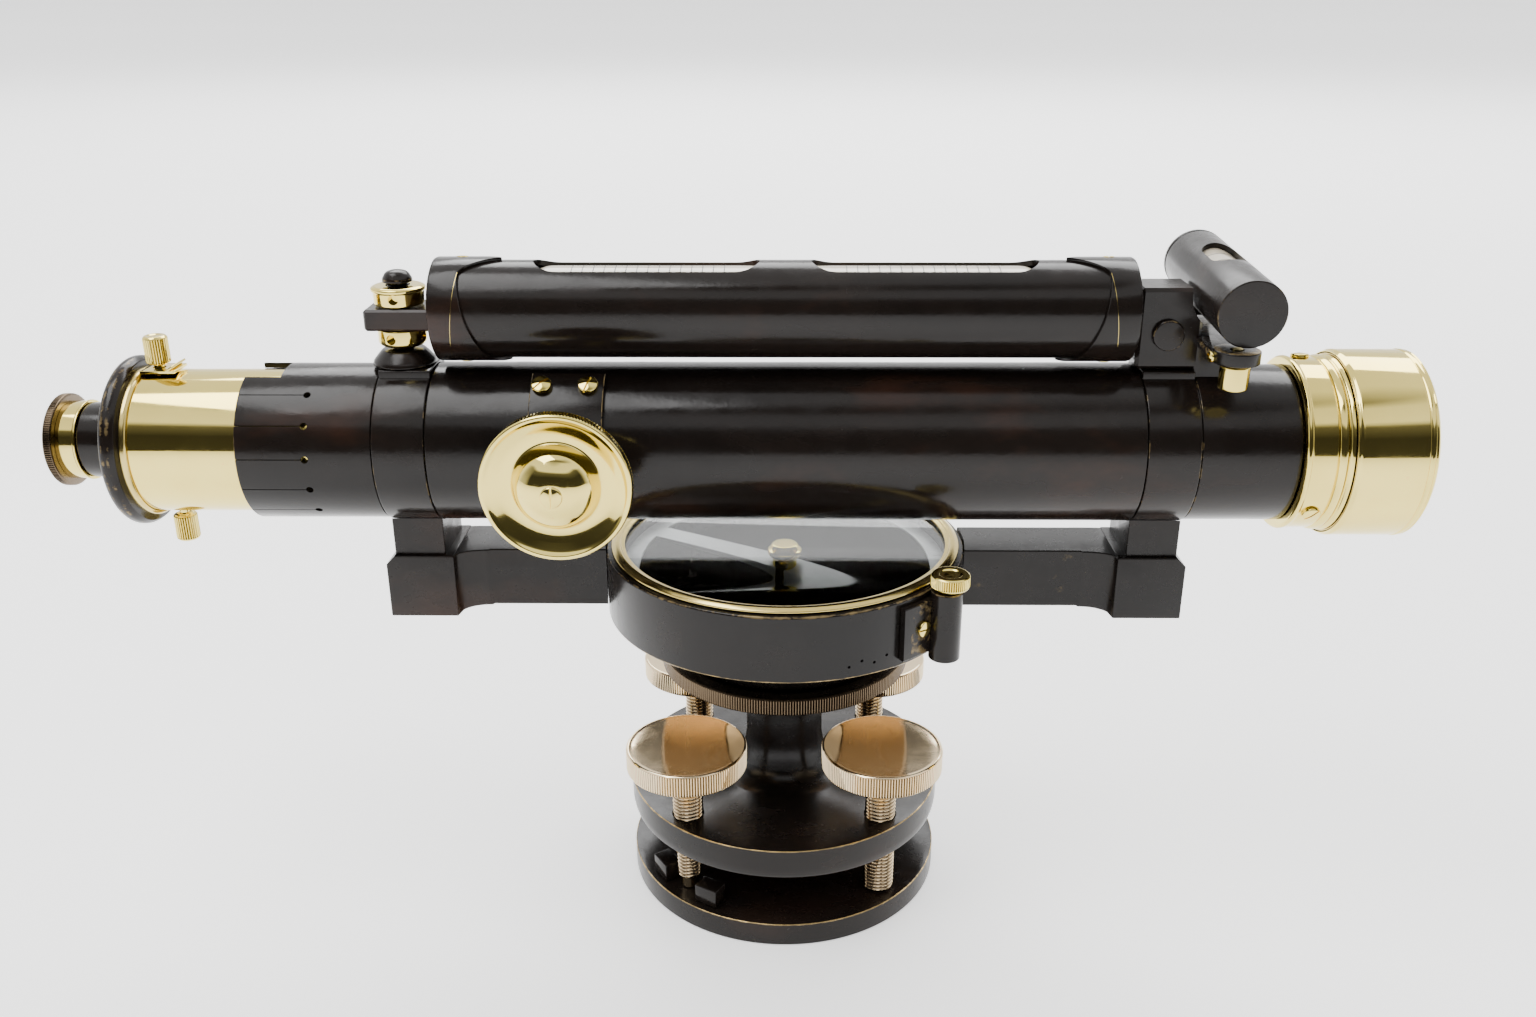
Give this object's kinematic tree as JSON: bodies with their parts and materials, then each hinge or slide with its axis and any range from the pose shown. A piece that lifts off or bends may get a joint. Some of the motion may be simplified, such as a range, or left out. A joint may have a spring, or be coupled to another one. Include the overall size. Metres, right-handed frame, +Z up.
{
  "type": "surveying level",
  "caption": "Antique surveyor's dumpy level: lacquered brass telescope with spirit levels, compass box and a levelling head with milled screws.",
  "frame": {"origin": "middle of the overall length and width, on the plane that the lower plate stands on", "axes": "+Z up, +X along the telescope towards the object glass, -Y towards the focusing knob"},
  "size_m": [0.3796, 0.104, 0.1935],
  "materials": {
    "black_lacquer": "glossy black-brown lacquer on brass, worn reddish at the edges",
    "polished_brass": "polished yellow brass under clear lacquer",
    "screw_brass": "warm pinkish gunmetal brass, bright milled edges",
    "steel": "oiled steel",
    "glass": "clear polished glass",
    "silvered_ring": "silvered grey, satin",
    "spirit_vial": "glass vial of pale spirit over a cream backing"
  },
  "bodies": {
    "base": {"lower_plate": "black_lacquer", "stop_lug_left": "black_lacquer", "stop_lug_right": "black_lacquer"},
    "ball_cup": {"ball_cup": "polished_brass"},
    "levelling_head": {"upper_plate": "black_lacquer", "ball_end": "steel"},
    "telescope": {"axis_cone": "steel", "milled_ring": "black_lacquer", "compass_box": "black_lacquer", "compass_bezel": "polished_brass", "compass_glass": "glass", "compass_pivot": "steel", "lifter_bracket": "black_lacquer", "limb_arm_left": "black_lacquer", "limb_arm_right": "black_lacquer", "collar_left": "black_lacquer", "collar_right": "black_lacquer", "main_tube": "black_lacquer", "eye_sleeve": "black_lacquer", "objective_tube": "black_lacquer", "objective_ring": "polished_brass", "objective_cell": "polished_brass", "objective_lens": "glass", "pinion_saddle": "black_lacquer", "saddle_screw_left": "polished_brass", "saddle_screw_right": "polished_brass", "level_stud": "black_lacquer", "level_pillar": "black_lacquer", "level_pivot_pin": "black_lacquer", "cross_level_bracket": "black_lacquer"},
    "compass_card": {"compass_card": "silvered_ring"},
    "needle_lifter": {"needle_lifter": "polished_brass"},
    "lifter_knob": {"lifter_knob": "polished_brass"},
    "ray_shade": {"ray_shade": "polished_brass"},
    "focus_knob": {"focus_knob": "polished_brass", "focus_pinion": "steel", "focus_knob_screw": "polished_brass"},
    "draw_tube": {"draw_tube": "polished_brass", "focus_rack": "steel", "eye_flange": "black_lacquer", "reticle_ring": "polished_brass", "reticle_plate_top": "polished_brass"},
    "reticle_screw_top": {"reticle_screw_top": "polished_brass"},
    "reticle_screw_bottom": {"reticle_screw_bottom": "polished_brass"},
    "eyepiece": {"eyepiece_barrel": "black_lacquer", "eyepiece_cap": "black_lacquer", "eye_lens": "glass"},
    "main_level": {"level_tube": "black_lacquer", "level_end_left": "black_lacquer", "level_end_right": "black_lacquer", "level_vial": "spirit_vial"},
    "level_nuts": {"level_nut_upper": "polished_brass", "level_nut_lower": "polished_brass"},
    "cross_level": {"cross_level_tube": "black_lacquer", "cross_level_vial": "spirit_vial"},
    "cross_level_screw": {"cross_level_screw": "polished_brass"},
    "levelling_screw_front_left": {"levelling_screw_front_left": "screw_brass"},
    "levelling_screw_front_right": {"levelling_screw_front_right": "screw_brass"},
    "levelling_screw_back_left": {"levelling_screw_back_left": "screw_brass"},
    "levelling_screw_back_right": {"levelling_screw_back_right": "screw_brass"}
  },
  "joints": [
    {"name": "tilt_across", "type": "hinge", "parent": "base", "child": "ball_cup", "pos_m": [0.0164, 0, 0.0123], "axis": [0.7071, 0.7071, 0], "range_deg": [-2.5, 2.5]},
    {"name": "tilt_along", "type": "hinge", "parent": "ball_cup", "child": "levelling_head", "pos_m": [0.0164, 0, 0.0123], "axis": [-0.7071, 0.7071, 0], "range_deg": [-2.5, 2.5]},
    {"name": "levelling_screw_front_left_rise", "type": "slide", "parent": "levelling_head", "child": "levelling_screw_front_left", "axis": [0, 0, 1], "range_m": [-0.0018, 0.0018]},
    {"name": "levelling_screw_front_right_rise", "type": "slide", "parent": "levelling_head", "child": "levelling_screw_front_right", "axis": [0, 0, 1], "range_m": [-0.0018, 0.0018]},
    {"name": "levelling_screw_back_left_rise", "type": "slide", "parent": "levelling_head", "child": "levelling_screw_back_left", "axis": [0, 0, 1], "range_m": [-0.0018, 0.0018]},
    {"name": "levelling_screw_back_right_rise", "type": "slide", "parent": "levelling_head", "child": "levelling_screw_back_right", "axis": [0, 0, 1], "range_m": [-0.0018, 0.0018]},
    {"name": "azimuth_turn", "type": "hinge", "parent": "levelling_head", "child": "telescope", "pos_m": [0.0164, 0, 0.0533], "axis": [0, 0, 1], "continuous": true},
    {"name": "compass_card_turn", "type": "hinge", "parent": "telescope", "child": "compass_card", "pos_m": [0.0164, 0, 0.1023], "axis": [0, 0, 1], "continuous": true},
    {"name": "lifter_knob_turn", "type": "hinge", "parent": "telescope", "child": "lifter_knob", "pos_m": [0.06057, -0.03603, 0.1083], "axis": [0, 0, 1], "range_deg": [0, 90]},
    {"name": "needle_lift", "type": "slide", "parent": "telescope", "child": "needle_lifter", "axis": [0, 0, 1], "range_m": [0, 0.00098]},
    {"name": "ray_shade_slide", "type": "slide", "parent": "telescope", "child": "ray_shade", "axis": [1, 0, 0], "range_m": [0, 0.015]},
    {"name": "focus_knob_turn", "type": "hinge", "parent": "telescope", "child": "focus_knob", "pos_m": [-0.0429, -0.03, 0.1383], "axis": [0, 1, 0], "range_deg": [-255, 319]},
    {"name": "draw_tube_slide", "type": "slide", "parent": "telescope", "child": "draw_tube", "axis": [1, 0, 0], "range_m": [-0.02, 0.016]},
    {"name": "reticle_screw_top_turn", "type": "hinge", "parent": "draw_tube", "child": "reticle_screw_top", "pos_m": [-0.1591, 0, 0.1633], "axis": [0, 0, 1], "range_deg": [-180, 180]},
    {"name": "reticle_screw_bottom_turn", "type": "hinge", "parent": "draw_tube", "child": "reticle_screw_bottom", "pos_m": [-0.1591, 0, 0.1133], "axis": [0, 0, 1], "range_deg": [-180, 180]},
    {"name": "eyepiece_slide", "type": "slide", "parent": "draw_tube", "child": "eyepiece", "axis": [1, 0, 0], "range_m": [-0.0035, 0.0035]},
    {"name": "main_level_tilt", "type": "hinge", "parent": "telescope", "child": "main_level", "pos_m": [0.1197, 0, 0.171], "axis": [0, 1, 0], "range_deg": [-0.2, 0.2]},
    {"name": "level_nuts_rise", "type": "slide", "parent": "telescope", "child": "level_nuts", "axis": [0, 0, 1], "range_m": [-0.0008, 0.0008]},
    {"name": "cross_level_tilt", "type": "hinge", "parent": "telescope", "child": "cross_level", "pos_m": [0.1356, 0.0199, 0.1708], "axis": [1, 0, 0], "range_deg": [-0.55, 0.55]},
    {"name": "cross_level_screw_rise", "type": "slide", "parent": "telescope", "child": "cross_level_screw", "axis": [0, 0, 1], "range_m": [-0.0004, 0.0004]}
  ],
  "couplings": [
    {"joint": "levelling_screw_front_right_rise", "follows": "tilt_across", "m_per_rad": 0.03988},
    {"joint": "levelling_screw_back_left_rise", "follows": "tilt_across", "m_per_rad": -0.03988},
    {"joint": "levelling_screw_back_right_rise", "follows": "tilt_along", "m_per_rad": 0.03988},
    {"joint": "levelling_screw_front_left_rise", "follows": "tilt_along", "m_per_rad": -0.03988},
    {"joint": "lifter_knob_turn", "follows": "needle_lift", "rad_per_m": 1587.3},
    {"joint": "focus_knob_turn", "follows": "draw_tube_slide", "rad_per_m": -277.78},
    {"joint": "level_nuts_rise", "follows": "main_level_tilt", "m_per_rad": 0.2094},
    {"joint": "cross_level_tilt", "follows": "cross_level_screw_rise", "rad_per_m": -23.866}
  ]
}
